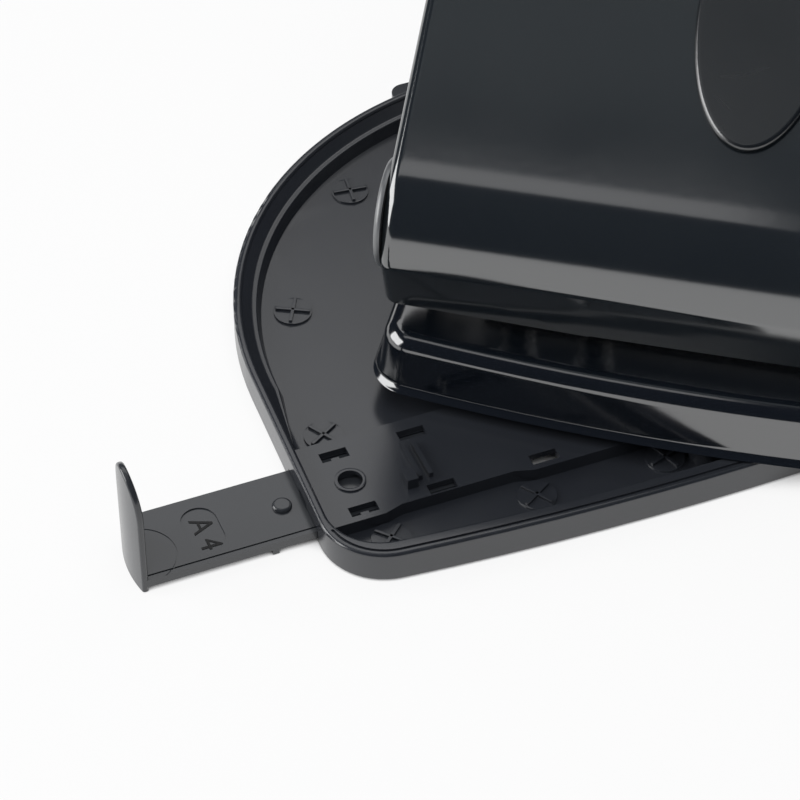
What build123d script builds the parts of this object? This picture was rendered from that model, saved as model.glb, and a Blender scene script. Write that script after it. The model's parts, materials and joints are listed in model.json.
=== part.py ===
import os
from math import atan2, cos, degrees, dist, pi, radians, sin, sqrt

from build123d import *

os.makedirs("parts", exist_ok=True)

# Desk punch for four holes, 21-70-21 mm apart, on a chip tray that swings out under it.
# X runs along the row of holes, Y from the paper side to the back, Z up.
# The origin is on the swivel axis, on the table.

# Rest pose: tray swung out, lever up, paper guide drawn out to its A4 stop
tray_swing = 34.5  # degrees from closed
lever_rise = 28.0  # degrees from pressed
overrun = 6.0  # how far cuts run past what they cut

# Clearances
slide_gap = 0.3  # between pieces that slide or swing past each other
swing_gap = 0.6  # between the tray rim and the bed that swings over it
running_fit = 0.05  # radial play of shafts and pins
rivet_fit = 0.03  # radial play of fixed shanks

# Chip tray
foot_height = 1.0
tray_height = 8.6
tray_back_radius = 101.5
tray_centre_setback = 61.0  # back arc's centre, behind the swivel axis
tray_front_setback = 14.0  # front edge, ahead of the swivel axis
tray_bow_radius = 860.0
tray_flare = 2.5  # degrees that each side opens towards the front
tray_corner = 17.0
rim_width = 2.3
rim_round = 1.0
front_wall = 2.9  # how much wider the rim is along the front
rim_groove_inset = 1.4
rim_groove_width = 0.8
rim_groove_depth = 0.6
rim_groove_end = 5.0  # behind the swivel axis
wall_lean = 0.8  # how far the inner wall leans in on its way down
cove_radius = 3.4  # between the wall and the floor
floor_thickness = 1.5
deck_thickness = 1.9
deck_front_setback = 8.0  # behind the swivel axis
deck_depth = 29.8
deck_jog = 1.5
deck_jog_start = 45.0
deck_jog_end = 86.0
deck_jog_slope = 17.0  # degrees
mark_radius = 5.2
mark_height = 0.6
mark_line = 0.9
mark_cross_height = 0.35
strip_mark_setback = 2.6
strip_mark_inner = 10.4
strip_mark_middle = 46.6
strip_mark_outer = 86.8
corner_mark_column = 89.5
corner_mark_setback = 43.4
ring_mark_reach = 85.5  # from the back arc's centre
ring_mark_low = 20.8  # degrees from across
ring_mark_high = 56.5
mark_turns = (18, 32, 42, 31, -29, -7)  # degrees, left-hand crosses in the order of their places
slot_length = 7.5
slot_width = 3.4
near_slot_setback = 11.5
far_slot_setback = 32.3
outer_slot_column = 90.8
middle_slot_column = 69.2
inner_slot_column = 40.8
slot_nose_width = 2.2
slot_nose_depth = 1.3
slot_nose_drop = 0.6
hook_length = 3.0
hook_reach = 1.6
hook_thickness = 0.5
detent_hole_radius = 3.2
detent_ring_width = 0.9
detent_ring_height = 0.5
detent_column = 90.3
latch_column = 76.4
latch_setback = 15.5
latch_width = 3.0
latch_depth = 4.0
latch_height = 3.2
latch_rib_height = 1.6
latch_rib_width = 1.1
latch_rib_length = 13.0
latch_rib_pitch = 2.9
thumb_lug_width = 44.0
thumb_lug_reach = 4.0
thumb_lug_thickness = 3.0
thumb_lug_drop = 2.2
thumb_lug_round = 4.0
thumb_lug_root = 2.0
rubber_foot_radius = 5.0
centre_foot_radius = 9.0

# Swivel between tray and body
boss_radius = 4.4
swivel_shank_radius = 3.0
swivel_head_radius = 4.8
swivel_head_height = 1.4
swivel_sink_radius = 4.2
swivel_sink_depth = 0.9
washer_thickness = 0.8
swivel_plate_width = 26.0
swivel_plate_sheet = 1.5
swivel_plate_web = 9.0  # upright web, behind the swivel axis
swivel_plate_flange = 13.0

# Paper guide
a4_half_length = 148.5
guide_lift = 0.8
guide_thickness = 2.5
guide_width = 23.0
guide_near_setback = 10.6
guide_inner_end = 60.0
guide_end_round = 3.0
guide_groove_inset = 1.5
guide_groove_width = 0.5
guide_groove_depth = 0.35
tab_width = 16.9
tab_thickness = 1.8
tab_curve = 32.0
tab_clear = 0.4  # above the table
tab_height = 36.2
tab_crown = 12.7
tab_round = 0.7
ring_line_radius = 9.8
ring_line_width = 0.4
ring_line_depth = 0.2
button_radius = 2.6
button_height = 1.1
button_round = 0.9
button_column = 109.0
lug_column = 114.9
lug_length = 1.8
lug_width = 1.5
lug_drop = 1.4
pill_length = 15.6
pill_width = 9.4
pill_depth = 0.35
pill_column = 130.4

# Bed
bed_height = 16.3
bed_sheet = 1.2
bed_side = 7.5  # wall, outside the brackets
bed_front_setback = 6.8  # wall, ahead of the swivel axis
bed_bow_radius = 600.0
bed_flare = 1.0  # degrees
bed_corner = 10.0
bed_top_round = 5.0
bed_draft = 2.0  # how far the wall leans in on its way up
bed_lip = 1.5
bed_lip_height = 2.4
bed_lip_shares = ((0, 1), (0.12, 0.86), (0.3, 0.46), (0.6, 0.13), (1, 0))  # of its height and reach

# Punches
hole_inner_pitch = 70.0
hole_outer_pitch = 21.0
hole_diameter = 6.0
hole_margin = 12.0  # hole centre to paper edge
throat = 4.5
pin_rest_gap = 0.2
pin_bevel = 1.0
pin_head_radius = 4.6
pin_head_height = 2.4
collar_radius = 5.4
collar_thickness = 1.0
die_plate_thickness = 4.0
die_clearance = 0.06
die_relief = 1.0
frame_end = 8.0  # plates, past the outer pins
frame_sheet = 2.0
frame_height = 9.0
frame_reach = 8.0  # plates, ahead of the pins
frame_foot = 14.0
spring_radius = 4.3
spring_wire = 0.9
spring_turns = 4
spring_seat_gap = 0.1

# Lever
pivot_setback = 16.5  # behind the swivel axis
pivot_height = 55.5
lever_length = 115.0  # behind the pivot
lever_sheet = 1.2
lever_nose = 16.0
lever_crown_radius = 72.0
lever_crown_turn = 12.0  # degrees, from the flat top to the nose
lever_corner = 18.0
lever_edge_round = 3.4
skirt_lean = 9.4  # degrees
skirt_drop = 15.8
skirt_notch_half = 33.0
skirt_notch = 1.2
cheek_reach = 27.0
cheek_drop = 12.0
rear_lip = 9.0
bar_arm = 18.4
bar_radius = 4.0
bar_web = 3.0
pad_width = 35.0
pad_length = 76.0
pad_front = 23.0
pad_height = 2.2
pad_round = 1.4
pad_peg_radius = 2.4
pad_peg_length = 2.6
pad_peg_spread = 40.0
axle_radius = 4.0
axle_overhang = 0.4  # past the lever's cheeks
bush_wall = 2.0
bush_flange = 2.0
bush_flange_thickness = 3.0
cap_radius = 14.3
cap_height = 1.8
cap_round = 1.5
cap_recess = 0.8
bracket_sheet = 2.5
bracket_eye = 9.0
bracket_foot = 20.0
bracket_foot_width = 15.0
bracket_clear = 1.1  # to the punch frame
bracket_shoulder = 12.0
bracket_gap = 2.9  # to the bush flange

# Rivets
rivet_radius = 2.0
rivet_head_radius = 3.4
rivet_head_height = 1.4
frame_rivet_shares = (-0.8, -0.3, 0.3, 0.8)  # of the frame's half length
bracket_rivet_shares = (0.25, 0.75)  # of the bracket foot

# Levels, upwards from the table
tray_base = foot_height
rim_top = tray_base + tray_height
floor_top = tray_base + floor_thickness
guide_bottom = tray_base + guide_lift
guide_top = guide_bottom + guide_thickness
deck_underside = guide_top + slide_gap
deck_top = deck_underside + deck_thickness
bed_bottom = rim_top + swing_gap
bed_top = bed_bottom + bed_height
bed_underside = bed_top - bed_sheet
throat_top = bed_top + throat
frame_top = throat_top + frame_height
die_bottom = bed_underside - die_plate_thickness

# Places along Y
rise = radians(lever_rise)
pin_stroke = bar_arm * sin(rise)
pin_line = pivot_setback + bar_arm * (1 + cos(rise)) / 2
paper_stop = pin_line + hole_margin
frame_rivet_line = paper_stop + (frame_sheet + frame_foot) / 2
pin_radius = hole_diameter / 2
guide_far_setback = guide_near_setback + guide_width
guide_middle = guide_near_setback + guide_width / 2
swivel_plate_front = bed_front_setback - bed_sheet - slide_gap
near_rail = guide_near_setback - slide_gap
far_rail = guide_far_setback + slide_gap
wide = 2 * tray_back_radius + tray_corner

# Places across X
slot_columns = (outer_slot_column, middle_slot_column, inner_slot_column)
slot_setbacks = (near_slot_setback, far_slot_setback)
strip_mark_columns = (strip_mark_inner, strip_mark_middle, strip_mark_outer)
strip_mark_places = [(x, strip_mark_setback) for x in strip_mark_columns]
ring_mark_places = [
    (ring_mark_reach * cos(radians(turn)), tray_centre_setback + ring_mark_reach * sin(radians(turn)))
    for turn in (ring_mark_low, ring_mark_high)
]
floor_mark_places = strip_mark_places + [(corner_mark_column, corner_mark_setback)] + ring_mark_places
inner_hole = hole_inner_pitch / 2
outer_hole = inner_hole + hole_outer_pitch
hole_places = (-outer_hole, -inner_hole, inner_hole, outer_hole)
frame_half_length = outer_hole + frame_end
frame_rivet_places = [(share * frame_half_length, frame_rivet_line) for share in frame_rivet_shares]
bush_outer_radius = axle_radius + running_fit + bush_wall
bracket_outer = frame_half_length + bracket_clear + bracket_foot_width
bed_back_radius = bracket_outer + bed_side
cheek_inner = bracket_outer + bracket_gap + bush_flange_thickness
lever_half_length = cheek_inner + lever_sheet
bracket_rivet_column = bracket_outer - (bracket_sheet + bracket_foot_width) / 2
bracket_rivet_places = [
    (side * bracket_rivet_column, paper_stop + share * bracket_foot)
    for side in (-1, 1)
    for share in bracket_rivet_shares
]

# Working planes
swing = radians(tray_swing)
tray_along = (cos(swing), sin(swing), 0)
tray_back = (-sin(swing), cos(swing), 0)
tray_plane = Plane((0, 0, 0), x_dir=tray_along, z_dir=(0, 0, 1))
tray_end_plane = Plane((0, 0, 0), x_dir=tray_back, z_dir=tray_along)
end_plane = Plane((0, 0, 0), x_dir=(0, 1, 0), z_dir=(1, 0, 0))
pivot = (0, pivot_setback, pivot_height)
lever_back = (0, cos(rise), sin(rise))
lever_up = (0, -sin(rise), cos(rise))
lever_end_plane = Plane(pivot, x_dir=lever_back, z_dir=(1, 0, 0))
lever_top_plane = Plane(pivot, x_dir=(1, 0, 0), z_dir=lever_up)


def keep(builder, name):
    builder.part.label = name
    export_step(builder.part, f"parts/{name}.step")


# D-shaped plan: bowed front, flared sides, round back
tray_plan = (
    tray_front_setback, tray_bow_radius, tray_flare, tray_back_radius, tray_centre_setback, tray_corner,
)
tray_hollow_plan = (tray_front_setback - front_wall, *tray_plan[1:])
bed_plan = (
    bed_front_setback, bed_bow_radius, bed_flare, bed_back_radius, tray_centre_setback, bed_corner,
)


def d_outline(plan, inset=0, mode=Mode.ADD):
    front, bow, flare, back, centre, corner = plan
    turn = radians(flare)
    radius = back - inset
    bow_inner = bow - inset
    touch = (radius * cos(turn), centre + radius * sin(turn))
    bow_centre = bow - front
    reach = (touch[1] - bow_centre) * cos(turn) - touch[0] * sin(turn)
    aside = touch[0] ** 2 + (touch[1] - bow_centre) ** 2
    run = reach + sqrt(reach**2 - aside + bow_inner**2)
    tip = (touch[0] + run * sin(turn), touch[1] - run * cos(turn))
    with BuildLine() as rim:
        ThreePointArc(touch, (0, centre + radius), (-touch[0], touch[1]))
        Line((-touch[0], touch[1]), (-tip[0], tip[1]))
        ThreePointArc((-tip[0], tip[1]), (0, inset - front), tip)
        Line(tip, touch)
    face = make_face(rim.edges(), mode=Mode.PRIVATE)
    add(face.face().fillet_2d(corner - inset, face.vertices().group_by(Axis.Y)[0]), mode=mode)


def both_sides(places):
    return [(side * x, y) for x, y in places for side in (-1, 1)]


# Tray
with BuildPart() as tray_hollow:
    with BuildSketch(tray_plane.offset(floor_top)):
        d_outline(tray_hollow_plan, rim_width + wall_lean)
    with BuildSketch(tray_plane.offset(rim_top)):
        d_outline(tray_hollow_plan, rim_width)
    loft(ruled=True)
    fillet(tray_hollow.edges().group_by(Axis.Z)[0], cove_radius)

with BuildPart() as tray:
    with BuildSketch(tray_plane.offset(tray_base)):
        d_outline(tray_plan)
    extrude(amount=tray_height)
    add(tray_hollow.part, mode=Mode.SUBTRACT)
    fillet(tray.edges().group_by(Axis.Z)[-1], rim_round)
    # Fine groove along the front of the rim
    with BuildSketch(tray_plane.offset(rim_top)):
        d_outline(tray_plan, rim_groove_inset)
        d_outline(tray_plan, rim_groove_inset + rim_groove_width, Mode.SUBTRACT)
        with Locations((0, rim_groove_end)):
            Rectangle(wide, wide, align=(Align.CENTER, Align.MIN), mode=Mode.SUBTRACT)
    extrude(amount=-rim_groove_depth, mode=Mode.SUBTRACT)
    # Raised deck over the guide, its front edge jogged on each side
    with BuildSketch(tray_plane.offset(floor_top)):
        d_outline(tray_plan, rim_width)
        with Locations((0, deck_front_setback)):
            Rectangle(wide, deck_depth, align=(Align.CENTER, Align.MIN), mode=Mode.INTERSECT)
        for side in (-1, 1):
            with Locations((side * (deck_jog_start + deck_jog_end) / 2, deck_front_setback)):
                Trapezoid(
                    deck_jog_end - deck_jog_start, deck_jog, deck_jog_slope,
                    align=(Align.CENTER, Align.MIN), mode=Mode.SUBTRACT,
                )
    extrude(amount=deck_top - floor_top)
    # Tunnel for the guide, open below and through the left wall, with a groove for its button
    with BuildSketch(tray_plane.offset(tray_base)):
        with Locations((-wide / 2, near_rail)):
            Rectangle(
                wide / 2 + tray_back_radius - rim_width - cove_radius, far_rail - near_rail,
                align=(Align.MIN, Align.MIN),
            )
    extrude(amount=deck_underside - tray_base, mode=Mode.SUBTRACT)
    with BuildSketch(tray_plane.offset(deck_underside)):
        with Locations((-guide_inner_end, guide_middle)):
            Rectangle(wide, 2 * (button_radius + slide_gap), align=(Align.MAX, Align.CENTER))
    extrude(amount=button_height, mode=Mode.SUBTRACT)
    # Hooks under the guide's edges
    with BuildSketch(tray_plane.offset(tray_base)):
        with Locations(*[(-x, far_rail) for x in slot_columns]):
            Rectangle(slot_length, 2 * hook_reach)
        with Locations(*[(slot_length / 2 - x, near_rail) for x in slot_columns[1:]]):
            Rectangle(hook_length, 2 * hook_reach, align=(Align.MAX, Align.CENTER))
    extrude(amount=hook_thickness)
    # Slots and the detent hole through the deck
    with BuildSketch(tray_plane.offset(deck_top)):
        with Locations((-detent_column, guide_middle)):
            Circle(detent_hole_radius + detent_ring_width)
    extrude(amount=detent_ring_height)
    with BuildSketch(tray_plane.offset(deck_underside)):
        with Locations(*[(-x, y) for x in slot_columns for y in slot_setbacks]):
            Rectangle(slot_length, slot_width)
        with Locations((-detent_column, guide_middle)):
            Circle(detent_hole_radius)
    extrude(amount=deck_thickness + overrun, mode=Mode.SUBTRACT)
    # Noses in the outer slots
    with BuildSketch(tray_plane.offset(deck_underside)):
        with Locations(*[(-outer_slot_column, y - slot_width / 2) for y in slot_setbacks]):
            Rectangle(slot_nose_width, slot_nose_depth, align=(Align.CENTER, Align.MIN))
    extrude(amount=deck_thickness - slot_nose_drop)
    # Detent tongue: a block and two ribs
    with BuildSketch(tray_plane.offset(deck_top)):
        with Locations((-latch_column, latch_setback)):
            Rectangle(latch_width, latch_depth)
    extrude(amount=latch_height)
    with BuildSketch(tray_plane.offset(deck_top)):
        with Locations(*[(step * latch_rib_pitch - latch_column, latch_setback) for step in (1, 2)]):
            Rectangle(latch_rib_width, latch_rib_length, align=(Align.CENTER, Align.MIN))
    extrude(amount=latch_rib_height)
    # Round marks with a raised cross, each turned its own way
    with BuildSketch(tray_plane.offset(floor_top)):
        with Locations(*both_sides(floor_mark_places)):
            Circle(mark_radius)
    extrude(amount=mark_height)
    with BuildSketch(tray_plane.offset(floor_top + mark_height)):
        for (x, y), turn in zip(floor_mark_places, mark_turns):
            for side in (-1, 1):
                with Locations((side * x, y)):
                    Rectangle(2 * mark_radius - mark_line, mark_line, rotation=-side * turn)
                    Rectangle(mark_line, 2 * mark_radius - mark_line, rotation=-side * turn)
    extrude(amount=mark_cross_height)
    # Thumb lug at the back
    with BuildSketch(tray_plane.offset(rim_top - thumb_lug_drop - thumb_lug_thickness)) as lug_sketch:
        with Locations((0, tray_centre_setback + tray_back_radius - thumb_lug_root)):
            Rectangle(thumb_lug_width, thumb_lug_root + thumb_lug_reach, align=(Align.CENTER, Align.MIN))
        fillet(lug_sketch.vertices().group_by(Axis.Y)[-1], thumb_lug_round)
        d_outline(tray_plan, rim_width / 2, Mode.SUBTRACT)
    extrude(amount=thumb_lug_thickness)
    # Swivel boss with the rivet's hole and sunk seat
    with BuildSketch(tray_plane.offset(tray_base)):
        Circle(boss_radius)
    extrude(amount=bed_bottom - running_fit - washer_thickness - tray_base)
    with BuildSketch(tray_plane.offset(tray_base)):
        Circle(swivel_shank_radius + rivet_fit)
    extrude(amount=tray_height + overrun, mode=Mode.SUBTRACT)
    with BuildSketch(tray_plane.offset(tray_base)):
        Circle(swivel_sink_radius)
    extrude(amount=swivel_sink_depth, mode=Mode.SUBTRACT)
keep(tray, "tray")

# Rubber feet
with BuildPart() as rubber_feet:
    with BuildSketch(tray_plane):
        with Locations(*both_sides((strip_mark_places[-1], ring_mark_places[-1]))):
            Circle(rubber_foot_radius)
    extrude(amount=foot_height)
    chamfer(rubber_feet.edges().group_by(Axis.Z)[0], foot_height / 4)
keep(rubber_feet, "rubber_feet")

with BuildPart() as centre_foot:
    with BuildSketch(tray_plane):
        Circle(centre_foot_radius)
    extrude(amount=foot_height)
keep(centre_foot, "centre_foot")

# Swivel rivet, its washer and the cranked plate under the bed
with BuildPart() as swivel_rivet:
    with BuildSketch(Plane.XY.offset(tray_base)):
        Circle(swivel_sink_radius - rivet_fit)
    extrude(amount=swivel_sink_depth)
    with BuildSketch(Plane.XY.offset(tray_base)):
        Circle(swivel_shank_radius)
    extrude(amount=bed_bottom + swivel_plate_sheet + running_fit - tray_base)
    with BuildSketch(Plane.XY.offset(bed_bottom + swivel_plate_sheet + running_fit)):
        Circle(swivel_head_radius)
    extrude(amount=swivel_head_height)
    fillet(swivel_rivet.edges().group_by(Axis.Z)[-1], swivel_head_height / 2)
keep(swivel_rivet, "swivel_rivet")

with BuildPart() as swivel_washer:
    with BuildSketch(Plane.XY.offset(bed_bottom - running_fit - washer_thickness)):
        Circle(boss_radius)
        Circle(swivel_shank_radius + rivet_fit, mode=Mode.SUBTRACT)
    extrude(amount=washer_thickness)
keep(swivel_washer, "swivel_washer")

with BuildPart() as swivel_plate:
    with BuildSketch(end_plane):
        with Locations((-swivel_plate_front, bed_bottom)):
            Rectangle(
                swivel_plate_front + swivel_plate_web, swivel_plate_sheet, align=(Align.MIN, Align.MIN)
            )
        with Locations((swivel_plate_web, bed_bottom)):
            Rectangle(swivel_plate_sheet, bed_underside - bed_bottom, align=(Align.MIN, Align.MIN))
        with Locations((swivel_plate_web, bed_underside)):
            Rectangle(
                swivel_plate_sheet + swivel_plate_flange, swivel_plate_sheet, align=(Align.MIN, Align.MAX)
            )
    extrude(amount=swivel_plate_width / 2, both=True)
    front_corners = swivel_plate.edges().filter_by(Axis.Z).group_by(Axis.Y)[0]
    fillet(front_corners, swivel_plate_front)
    with BuildSketch(Plane.XY.offset(bed_bottom)):
        Circle(swivel_shank_radius + running_fit)
    extrude(amount=swivel_plate_sheet, mode=Mode.SUBTRACT)
keep(swivel_plate, "swivel_plate")

# Paper guide
with BuildPart() as paper_guide:
    tab_inner_curve = tab_curve - tab_thickness
    tab_middle = guide_near_setback + tab_width / 2
    tab_centre = sqrt(tab_inner_curve**2 - (tab_width / 2) ** 2) - a4_half_length
    with BuildSketch(tray_plane.offset(tab_clear)):
        with Locations((tab_centre, tab_middle)):
            Circle(tab_curve)
            Circle(tab_inner_curve, mode=Mode.SUBTRACT)
            Rectangle(tab_curve, tab_width, align=(Align.MAX, Align.CENTER), mode=Mode.INTERSECT)
    extrude(amount=tab_height)
    # Arched top of the tab
    with BuildSketch(tray_end_plane.offset(tab_centre)):
        with Locations((tab_middle, tab_clear)):
            Rectangle(tab_width, tab_height - tab_crown, align=(Align.CENTER, Align.MIN))
        with Locations((tab_middle, tab_clear + tab_height - tab_crown)):
            Ellipse(tab_width / 2, tab_crown)
    extrude(amount=-tab_curve, mode=Mode.INTERSECT)
    fillet(paper_guide.edges() - paper_guide.edges().group_by(Axis.Z)[0], tab_round)
    # Bar, rounded where it meets the tab
    with BuildSketch(tray_plane.offset(guide_bottom)) as bar_sketch:
        with Locations((tab_centre, tab_middle)):
            Circle(tab_curve - tab_thickness / 2)
        with Locations((tab_centre, guide_near_setback)):
            Rectangle(tab_curve, guide_width, align=(Align.MAX, Align.MIN), mode=Mode.INTERSECT)
        with Locations((-guide_inner_end, guide_near_setback)):
            Rectangle(-tab_centre - guide_inner_end, guide_width, align=(Align.MAX, Align.MIN))
        fillet(bar_sketch.vertices().group_by(Axis.X)[-1], guide_end_round)
    extrude(amount=guide_thickness)
    # Groove along the near edge and the recess for the paper size
    with BuildSketch(tray_plane.offset(guide_top)):
        with Locations((-guide_inner_end, guide_near_setback + guide_groove_inset)):
            Rectangle(
                a4_half_length - guide_inner_end, guide_groove_width, align=(Align.MAX, Align.CENTER)
            )
    extrude(amount=-guide_groove_depth, mode=Mode.SUBTRACT)
    with BuildSketch(tray_plane.offset(guide_top)):
        with Locations((-pill_column, guide_middle)):
            SlotOverall(pill_length, pill_width, rotation=90)
    extrude(amount=-pill_depth, mode=Mode.SUBTRACT)
    # Faint ring line beside the tab
    with BuildSketch(tray_plane.offset(guide_top)):
        with Locations((-a4_half_length, tab_middle)):
            Circle(ring_line_radius)
            Circle(ring_line_radius - ring_line_width, mode=Mode.SUBTRACT)
            Rectangle(
                2 * ring_line_radius, 2 * ring_line_radius,
                align=(Align.MIN, Align.CENTER), mode=Mode.INTERSECT,
            )
    extrude(amount=-ring_line_depth, mode=Mode.SUBTRACT)
    # Detent button
    with BuildSketch(tray_plane.offset(guide_top)):
        with Locations((-button_column, guide_middle)):
            Circle(button_radius)
    extrude(amount=button_height)
    button_top = paper_guide.faces().filter_by(GeomType.PLANE).filter_by_position(
        Axis.Z, guide_top + button_height / 2, guide_top + button_height * 2
    )
    fillet(button_top.sort_by(SortBy.AREA)[0].edges(), button_round)
    # Stop lug under the near edge
    with BuildSketch(tray_plane.offset(guide_bottom)):
        with Locations((-lug_column, guide_near_setback)):
            Rectangle(lug_length, lug_width, align=(Align.CENTER, Align.MIN))
    extrude(amount=-lug_drop)
keep(paper_guide, "paper_guide")

# Bed: a pan with a rounded top edge and a flared lip
bed_lean = degrees(atan2(bed_draft, bed_height))
with BuildPart() as bed_hollow:
    with BuildSketch(Plane.XY.offset(bed_bottom)):
        d_outline(bed_plan, bed_sheet)
    extrude(amount=bed_height - bed_sheet, taper=bed_lean)
    fillet(bed_hollow.edges().group_by(Axis.Z)[-1], bed_top_round - bed_sheet)

with BuildPart() as bed:
    with BuildSketch(Plane.XY.offset(bed_bottom)):
        d_outline(bed_plan)
    extrude(amount=bed_height, taper=bed_lean)
    fillet(bed.edges().group_by(Axis.Z)[-1], bed_top_round)
    for height_share, reach_share in bed_lip_shares:
        height = height_share * bed_lip_height
        with BuildSketch(Plane.XY.offset(bed_bottom + height)):
            d_outline(bed_plan, height * bed_draft / bed_height - reach_share * bed_lip)
    loft(ruled=True)
    add(bed_hollow.part, mode=Mode.SUBTRACT)
    with BuildSketch(Plane.XY.offset(bed_underside)):
        with Locations(*[(x, pin_line) for x in hole_places]):
            Circle(pin_radius + die_relief)
        with Locations(*frame_rivet_places, *bracket_rivet_places):
            Circle(rivet_radius + rivet_fit)
    extrude(amount=bed_sheet, mode=Mode.SUBTRACT)
keep(bed, "bed")

# Die plate under the bed
with BuildPart() as die_plate:
    with BuildSketch(Plane.XY.offset(die_bottom)):
        with Locations((0, pin_line - frame_reach)):
            Rectangle(
                2 * frame_half_length, paper_stop + frame_foot - pin_line + frame_reach,
                align=(Align.CENTER, Align.MIN),
            )
        with Locations(*[(x, pin_line) for x in hole_places]):
            Circle(pin_radius + die_clearance, mode=Mode.SUBTRACT)
        with Locations(*frame_rivet_places):
            Circle(rivet_radius + rivet_fit, mode=Mode.SUBTRACT)
    extrude(amount=die_plate_thickness)
    # The dies open out below the cutting edge
    with BuildSketch(Plane.XY.offset(die_bottom)):
        with Locations(*[(x, pin_line) for x in hole_places]):
            Circle(pin_radius + die_relief)
    extrude(amount=die_plate_thickness / 2, mode=Mode.SUBTRACT)
keep(die_plate, "die_plate")

# Punch frame: two guide plates in front of the paper stop
with BuildPart() as punch_frame:
    plate_depth = frame_reach + hole_margin + frame_sheet
    with BuildSketch(end_plane):
        with Locations((paper_stop, bed_top)):
            Rectangle(frame_sheet, frame_top - bed_top, align=(Align.MIN, Align.MIN))
            Rectangle(frame_foot, frame_sheet, align=(Align.MIN, Align.MIN))
        with Locations((pin_line - frame_reach, throat_top)):
            Rectangle(plate_depth, frame_sheet, align=(Align.MIN, Align.MIN))
        with Locations((pin_line - frame_reach, frame_top)):
            Rectangle(plate_depth, frame_sheet, align=(Align.MIN, Align.MAX))
    extrude(amount=frame_half_length, both=True)
    with BuildSketch(Plane.XY.offset(throat_top)):
        with Locations(*[(x, pin_line) for x in hole_places]):
            Circle(pin_radius + running_fit)
    extrude(amount=frame_height, mode=Mode.SUBTRACT)
    with BuildSketch(Plane.XY.offset(bed_top)):
        with Locations(*frame_rivet_places):
            Circle(rivet_radius + rivet_fit)
    extrude(amount=frame_sheet, mode=Mode.SUBTRACT)
keep(punch_frame, "punch_frame")


def rivets(places, bottom, top):
    with BuildPart() as group:
        with BuildSketch(Plane.XY.offset(bottom)):
            with Locations(*places):
                Circle(rivet_radius)
        extrude(amount=top - bottom)
        for level, height in ((bottom, -rivet_head_height), (top, rivet_head_height)):
            with BuildSketch(Plane.XY.offset(level)):
                with Locations(*places):
                    Circle(rivet_head_radius)
            extrude(amount=height)
        fillet(group.edges().group_by(Axis.Z)[-1], rivet_head_height / 2)
    return group


frame_rivets = rivets(frame_rivet_places, die_bottom, bed_top + frame_sheet)
keep(frame_rivets, "frame_rivets")

# Brackets: reach forward over the throat to the axle
for side, name in ((-1, "bracket_left"), (1, "bracket_right")):
    with BuildPart() as bracket:
        with BuildSketch(end_plane.offset(side * bracket_outer)) as plate:
            with Locations((pivot_setback, pivot_height)):
                Circle(bracket_eye)
            with Locations((paper_stop, throat_top + frame_sheet)):
                Rectangle(bracket_foot, bracket_shoulder, align=(Align.MIN, Align.MIN))
            make_hull(plate.edges())
            with Locations((paper_stop, bed_top)):
                Rectangle(bracket_foot, throat_top + frame_sheet - bed_top, align=(Align.MIN, Align.MIN))
            with Locations((pivot_setback, pivot_height)):
                Circle(axle_radius + rivet_fit, mode=Mode.SUBTRACT)
        extrude(amount=-side * bracket_sheet)
        with BuildSketch(Plane.XY.offset(bed_top)):
            with Locations((side * bracket_outer, paper_stop)):
                Rectangle(
                    bracket_foot_width, bracket_foot,
                    align=(Align.MAX if side > 0 else Align.MIN, Align.MIN),
                )
        extrude(amount=frame_sheet)
        with BuildSketch(Plane.XY.offset(bed_top)):
            with Locations(*bracket_rivet_places):
                Circle(rivet_radius + rivet_fit)
        extrude(amount=frame_sheet, mode=Mode.SUBTRACT)
    keep(bracket, name)

bracket_rivets = rivets(bracket_rivet_places, bed_underside, bed_top + frame_sheet)
keep(bracket_rivets, "bracket_rivets")

# Axle, and the bushes in the lever's cheeks
axle_half_length = lever_half_length + axle_overhang
with BuildPart() as pivot_axle:
    with BuildSketch(end_plane):
        with Locations((pivot_setback, pivot_height)):
            Circle(axle_radius)
    extrude(amount=axle_half_length, both=True)
    chamfer(pivot_axle.edges(), axle_overhang / 2)
keep(pivot_axle, "pivot_axle")

for side, name in ((-1, "handle_bush_left"), (1, "handle_bush_right")):
    with BuildPart() as bush:
        with BuildSketch(end_plane.offset(side * (cheek_inner - bush_flange_thickness))):
            with Locations((pivot_setback, pivot_height)):
                Circle(bush_outer_radius + bush_flange)
        extrude(amount=side * bush_flange_thickness)
        with BuildSketch(end_plane.offset(side * cheek_inner)):
            with Locations((pivot_setback, pivot_height)):
                Circle(bush_outer_radius)
        extrude(amount=side * lever_sheet)
        with BuildSketch(end_plane.offset(side * lever_half_length)):
            with Locations((pivot_setback, pivot_height)):
                Circle(axle_radius + running_fit)
        extrude(amount=-side * (lever_sheet + bush_flange_thickness), mode=Mode.SUBTRACT)
    keep(bush, name)

# Punch pins, their collars and springs
pin_top = pivot_height + pin_stroke - bar_radius - slide_gap
pin_tip = throat_top + pin_rest_gap
head_underside = pin_top - pin_head_height
collar_underside = head_underside - collar_thickness
for number, x in enumerate(hole_places, start=1):
    pin_plane = Plane((x, pin_line, 0), x_dir=(1, 0, 0), z_dir=(0, -1, 0))
    with BuildPart() as punch_pin:
        with BuildSketch(pin_plane):
            with BuildLine():
                Polyline(
                    (0, pin_tip), (pin_radius, pin_tip), (pin_radius, head_underside),
                    (pin_head_radius, head_underside), (pin_head_radius, pin_top), (0, pin_top), close=True,
                )
            make_face()
        revolve(axis=Axis((x, pin_line, 0), (0, 0, 1)))
        fillet(punch_pin.edges().group_by(Axis.Z)[-1], pin_head_height / 4)
        # Hollow-ground cutting end
        saddle_radius = (pin_radius**2 + pin_bevel**2) / (2 * pin_bevel)
        with BuildSketch(pin_plane):
            with Locations((0, pin_tip + pin_bevel - saddle_radius)):
                Circle(saddle_radius)
        extrude(amount=pin_head_radius, both=True, mode=Mode.SUBTRACT)
    keep(punch_pin, f"punch_pin_{number}")

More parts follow.
